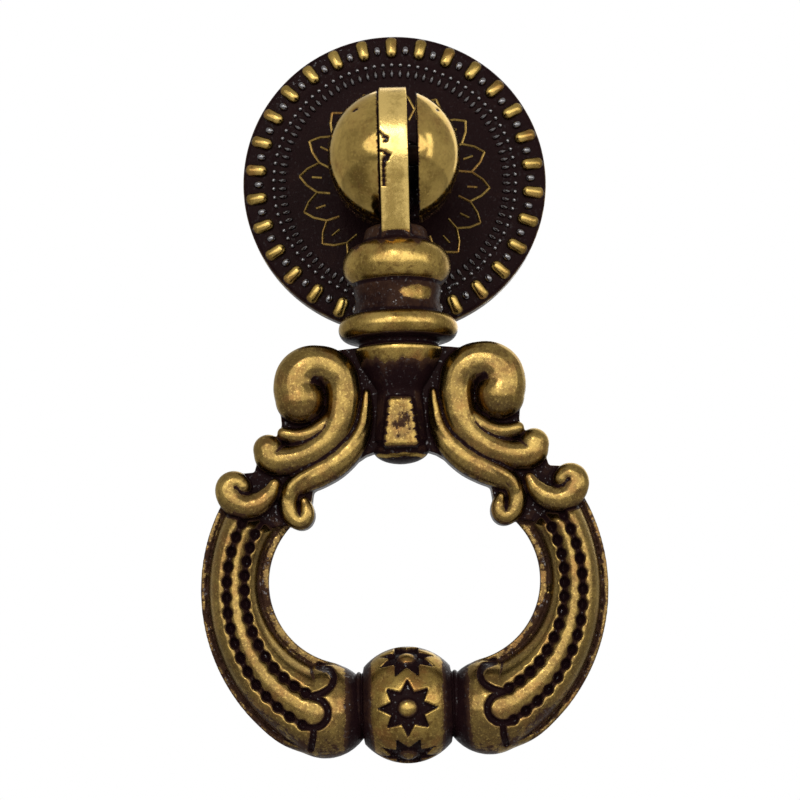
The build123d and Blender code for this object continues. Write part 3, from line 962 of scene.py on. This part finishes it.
def valley_shadow(places):
    """1 along the two valleys between the reeds and along the two gutters, fading out to their edges."""
    out = places[:, 0] - RING_CENTRE[0]
    up = places[:, 2] - RING_CENTRE[1]
    angles = np.degrees(np.arctan2(up, out))
    inner = arm_inner_edge(angles)
    half_width = (OUTER_RADIUS - inner) / 2
    share = (np.hypot(out, up) - (OUTER_RADIUS + inner) / 2) / half_width
    shadow = np.zeros(len(places))
    for valley, end, full in zip(valley_places(angles), (-59.5, -53.0), (-58.0, -51.5)):
        line = 1 - step_up(np.abs(share - valley) * half_width, 0.15, 0.36)
        shadow = np.maximum(shadow, line * step_up(angles, end, full))
    for gutter in (half_width - 0.59, 0.83 - half_width):
        line = 1 - step_up(np.abs(share * half_width - gutter), 0.1, 0.3)
        shadow = np.maximum(shadow, line * step_up(angles, -56, -50))
    return shadow


def from_line(x, z, line):
    """Distance of points to a drawn line, in front view."""
    nearest = np.full(len(x), 99.0)
    for start, end in zip(line, line[1:]):
        run = (end[0] - start[0], end[1] - start[1])
        length = run[0] ** 2 + run[1] ** 2
        share = np.clip(((x - start[0]) * run[0] + (z - start[1]) * run[1]) / length, 0, 1)
        nearest = np.minimum(nearest, np.hypot(x - start[0] - share * run[0], z - start[1] - share * run[1]))
    return nearest


def pit_places():
    """Places of the punched pits along the outer and the inner valley."""
    spots = []
    for valley, count, top, sweep in ((0, 16, 25, 82), (1, 14, 23, 74)):
        for index in range(count):
            angle = top - sweep * index / (count - 1)
            spots.append(arm_place(angle, valley_places(angle)[valley]))
    return spots


def carve_arm(arm):
    """Sinks the pits and the scalloped end of the reeds, and says how deep each point went."""
    places = coordinates(arm)
    x, y, z = places.T
    depth = np.zeros(len(places))
    for spot in pit_places():
        away = np.hypot(x - spot[0], z - spot[1])
        depth = np.maximum(depth, PIT_DEPTH * (1 - step_up(away, 0.26, 0.6)))
    for line in (
        [(8.3, -49.75), (7.25, -50.0), (6.75, -50.75), (7.05, -51.6), (7.9, -52.15), (8.9, -52.4)],
        [(8.7, -52.45), (7.9, -52.75), (7.35, -53.5), (7.4, -54.4), (7.95, -55.05), (8.75, -55.3),
         (9.65, -55.1)],
        [(8.75, -55.3), (8.8, -56.25), (9.1, -57.3)],
    ):
        away = from_line(x, z, eased(line, 5.0, 5))
        depth = np.maximum(depth, GROOVE_DEPTH * (1 - step_up(away, 0.12, 0.42)))
    depth = depth * step_up(-normals(arm)[:, 1], 0.1, 0.4)
    y += depth
    move_points(arm, places)
    return depth


# Pendant: bead


def star_depth(x, turn_about):
    """Depth of the stars sunk into the bead, each with a dome left standing in its middle."""
    depth = np.zeros(len(x))
    tip = math.pi / 8
    for index in range(STAR_COUNT):
        around = (turn_about - 2 * math.pi * index / STAR_COUNT + math.pi) % (2 * math.pi) - math.pi
        arc_length = around * BEAD_RADIUS
        reach = np.hypot(x, arc_length)
        heading = np.arctan2(x, arc_length) + (tip if index % 2 else 0)
        lean = np.abs((heading + tip) % (2 * tip) - tip)
        edge = STAR_TIP * STAR_VALLEY * math.sin(tip)
        edge = edge / (STAR_TIP * np.sin(lean) + STAR_VALLEY * np.sin(tip - lean))
        dome = np.sqrt(np.clip(1 - reach ** 2, 0, 1))
        depth = np.maximum(depth, STAR_DEPTH * step_up(edge - reach, -0.1, 0.12) * (1 - dome))
    return depth


def make_bead():
    outline = oval((0, 0), BEAD_RADIUS, BEAD_RADIUS, 0, 48.8, 40)
    outline += eased([(3.5, 4.12), (3.1, 4.2), (2.98, 4.3), (3.16, 4.48), (3.16, 4.66), (2.95, 4.85),
                      (2.95, 5.4), (0, 5.4)], 0.16)
    half = stepped(outline, 0.13)
    whole = [(radius, -along) for radius, along in half[:0:-1]] + half
    bead = turned("pendant_bead", whole, "X", (0, PIVOT_Y, BEAD_CENTRE_Z), 260)
    places = coordinates(bead)
    away_y = places[:, 1] - PIVOT_Y
    away_z = places[:, 2] - BEAD_CENTRE_Z
    from_axis = np.hypot(away_y, away_z)
    depth = star_depth(places[:, 0], np.arctan2(away_z, -away_y))
    depth = np.where(np.abs(places[:, 0]) < 4.1, depth, 0)
    shrink = (from_axis - depth) / np.maximum(from_axis, 0.01)
    places[:, 1] = PIVOT_Y + away_y * shrink
    places[:, 2] = BEAD_CENTRE_Z + away_z * shrink
    move_points(bead, places)
    return bead, depth


# Rubbing of the pendant's pieces, with painted shade


def near_share(obj, others, reach):
    """1 where a point lies close to the surface of another piece, 0 beyond the reach."""
    graph = bpy.context.evaluated_depsgraph_get()
    trees = [BVHTree.FromObject(other, graph) for other in others]
    share = np.zeros(len(obj.data.vertices))
    for index, vertex in enumerate(obj.data.vertices):
        for tree in trees:
            found = tree.find_nearest(vertex.co, reach * MM)
            if found[0] is not None:
                share[index] = max(share[index], 1 - found[3] / (reach * MM))
    return share


def rub_and_shade_down(obj, others, level=0.82, polish=0.16):
    """Bare where the polishing reached, dark in the hollows, at the joints, along the sides and behind, with
    painted shade on surfaces that face downwards.
    """
    facing = normals(obj)
    broad_hollow = hollow(obj, 120)
    rub_and_shade = np.full(len(facing), level)
    rub_and_shade -= 0.55 * step_up(hollow(obj, 14), 0.0, 0.05)
    rub_and_shade -= 0.5 * step_up(broad_hollow, 0.04, 0.28)
    rub_and_shade += polish * step_up(-broad_hollow, 0.02, 0.22) * step_up(-facing[:, 1], 0.5, 0.9)
    rub_and_shade -= 0.32 * (1 - step_up(np.abs(facing[:, 1]), 0.05, 0.3))
    rub_and_shade -= 0.3 * step_up(facing[:, 1], 0.6, 0.9)
    # Painted shade: surfaces that face downwards are made darker and browner.
    rub_and_shade -= 0.17 * step_up(-facing[:, 2], 0.1, 0.75)
    rub_and_shade -= 0.45 * step_up(near_share(obj, others, 0.5), 0.1, 0.8)
    return rub_and_shade, coordinates(obj), facing


def chip_neck(neck, places):
    """Flakes off the eye's front edge, drawn as strokes of their own breadth."""
    x, y, z = places.T
    chips = np.zeros(len(places))
    for line, breadth in (
        ([(-1.35, 0.55), (-1.05, 0.3), (-0.9, 0.05)], 0.07),
        ([(-0.9, 0.05), (-0.62, -0.15), (-0.8, -0.4)], 0.14),
        ([(-1.25, -1.3), (-0.85, -1.5)], 0.08),
        ([(-0.85, -1.5), (-0.5, -1.7), (-0.72, -2.1)], 0.15),
        ([(-0.9, -2.0), (-1.0, -2.7)], 0.16),
        ([(-1.0, -2.6), (-1.02, -4.3)], 0.11),
    ):
        away = from_line(x, z, line) + 0.07 * np.sin(9 * z) * np.sin(23 * z + 2)
        chips = np.maximum(chips, (1 - step_up(away, breadth - 0.05, breadth + 0.12)) * (y < -15))
    y += CHIP_DEPTH * chips
    move_points(neck, places)
    return chips


def wear_and_shade_neck(neck, scroll):
    rub_and_shade, places, facing = rub_and_shade_down(neck, [scroll])
    x, y, z = places.T
    down = -z
    ragged = 0.35 * np.sin(2.1 * x + 0.6) + 0.25 * np.sin(5.3 * x)
    shoulder = step_up(down, 6.9, 7.3) * (1 - step_up(down + ragged, 9.2, 10.1))
    waist = stretch(down, 13.0, 13.3, 16.2, 16.5)
    neckline = stretch(down, 18.45, 18.65, 19.4, 19.6)
    bell = step_up(down + 0.6 * ragged, 20.0, 22.0)
    tongue = step_up(-y, 14.75, 14.95) * step_up(down, 23.9, 24.2)
    eye_side = step_up(np.abs(facing[:, 0]), 0.8, 0.95) * step_up(z, -7.4, -6.8)
    chips = chip_neck(neck, places)
    strip = (np.abs(x) < 1.36) * (y < -15.1) * step_up(z, -8.5, -8.1)
    patch = 1 - step_up(np.hypot((x - 1.9) / 1.7, (z + 14.5) / 0.75), 0.5, 1.3)
    patch *= step_up(-y, 14, 15)
    rub_and_shade -= 0.45 * shoulder * (1 - strip) + 0.5 * waist * (1 - patch) + 0.5 * neckline + 0.5 * eye_side
    # Painted shade: the downward-facing lower bell is made dark, except on the tongue.
    rub_and_shade -= 0.6 * bell * (1 - tongue)
    uneven = 0.14 * np.sin(7.3 * z + 2 * np.sign(x)) + 0.09 * np.sin(17 * z)
    frayed = step_up(np.abs(x) + uneven - 1.02 - 0.12 * (down - 24.3), -0.12, 0.12)
    rub_and_shade -= tongue * (0.3 + 0.5 * frayed + 0.14 * step_up(z, -25.2, -24.4) * (1 + ragged))
    rub_and_shade += 0.42 * strip - 1.3 * chips
    lip = np.abs(down - 29.98 + 0.12 * ragged)
    rub_and_shade += 0.85 * (1 - step_up(lip, 0.08, 0.24)) * (y < -12.5)
    mark(neck, "rub_and_shade", rub_and_shade)


def wear_and_shade_scroll(scroll, others):
    # The lower level darkens the scroll's gold: in part a duller finish, in part painted shade.
    rub_and_shade, places, facing = rub_and_shade_down(scroll, others, 0.69, 0.06)
    ground = step_up(places[:, 1], -13.7, -13.2) * step_up(-facing[:, 1], 0.3, 0.7)
    mark(scroll, "rub_and_shade", rub_and_shade - 0.5 * ground)


def wear_and_shade_arm(arm, others, carving):
    # The lower level darkens the arm's gold: in part a duller finish, in part painted shade.
    rub_and_shade, places, facing = rub_and_shade_down(arm, others, 0.65, 0.03)
    rub_and_shade -= 0.4 * valley_shadow(places) * step_up(-facing[:, 1], 0.2, 0.5)
    fin = step_up(places[:, 1], -13.1, -12.7) * step_up(-facing[:, 1], -0.2, 0.2)
    rub_and_shade = np.where(fin > 0.5, np.clip(rub_and_shade - 0.16, 0.43, 0.53), rub_and_shade)
    rub_and_shade -= 1.2 * carving + 0.5 * (1 - step_up(np.abs(places[:, 0]), 5.1, 6.2))
    mark(arm, "rub_and_shade", rub_and_shade)


def wear_and_shade_bead(bead, others, carving):
    rub_and_shade, places, facing = rub_and_shade_down(bead, others, 0.69, 0.08)
    rub_and_shade -= 0.5 * step_up(np.abs(places[:, 0]), 3.0, 3.8) + 1.2 * carving
    mark(bead, "rub_and_shade", rub_and_shade)


def make_pendant(material, neck_material):
    neck = make_neck()
    scroll = make_scroll()
    arm = make_arm()
    arm_carving = carve_arm(arm)
    bead, bead_carving = make_bead()
    wear_and_shade_neck(neck, scroll)
    wear_and_shade_scroll(scroll, [neck, arm])
    wear_and_shade_arm(arm, [scroll, bead], arm_carving)
    wear_and_shade_bead(bead, [arm], bead_carving)
    scroll_left = mirrored(scroll, "pendant_scroll_left")
    arm_left = mirrored(arm, "pendant_arm_left")
    for piece in (neck, scroll, scroll_left, arm, arm_left, bead):
        mark(piece, "gloss", 0.25)
        dress(piece, neck_material if piece in (neck, bead) else material)
        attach(piece, "ring")
        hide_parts("pendant")


set_camera()
set_light()
make_floor()
patina = rubbed_patina_group()
rosette_brass = antique_brass("rosette_brass", patina, 0.45, 0.5)
ball_brass = antique_brass("ball_brass", patina, 0.7, 0.4, bump_strength=0.22, roughness_scale=0.48)
neck_brass = antique_brass("neck_brass", patina, 0.85, 0.8, bump_strength=0.45)
# pendant_brass is neck_brass with darker gold: in part a duller finish, in part painted shade.
pendant_brass = antique_brass("pendant_brass", patina, 0.85, 0.8, 0.3, bump_strength=0.45)
pin_brass = antique_brass("pin_brass", patina, 0.3, 0.5, plain_rub=0.35)
make_rosette(rosette_brass)
make_ball(ball_brass)
make_pendant(pendant_brass, neck_brass)
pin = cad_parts["hinge_pin"]
pin.data.materials.clear()
pin.data.materials.append(pin_brass)
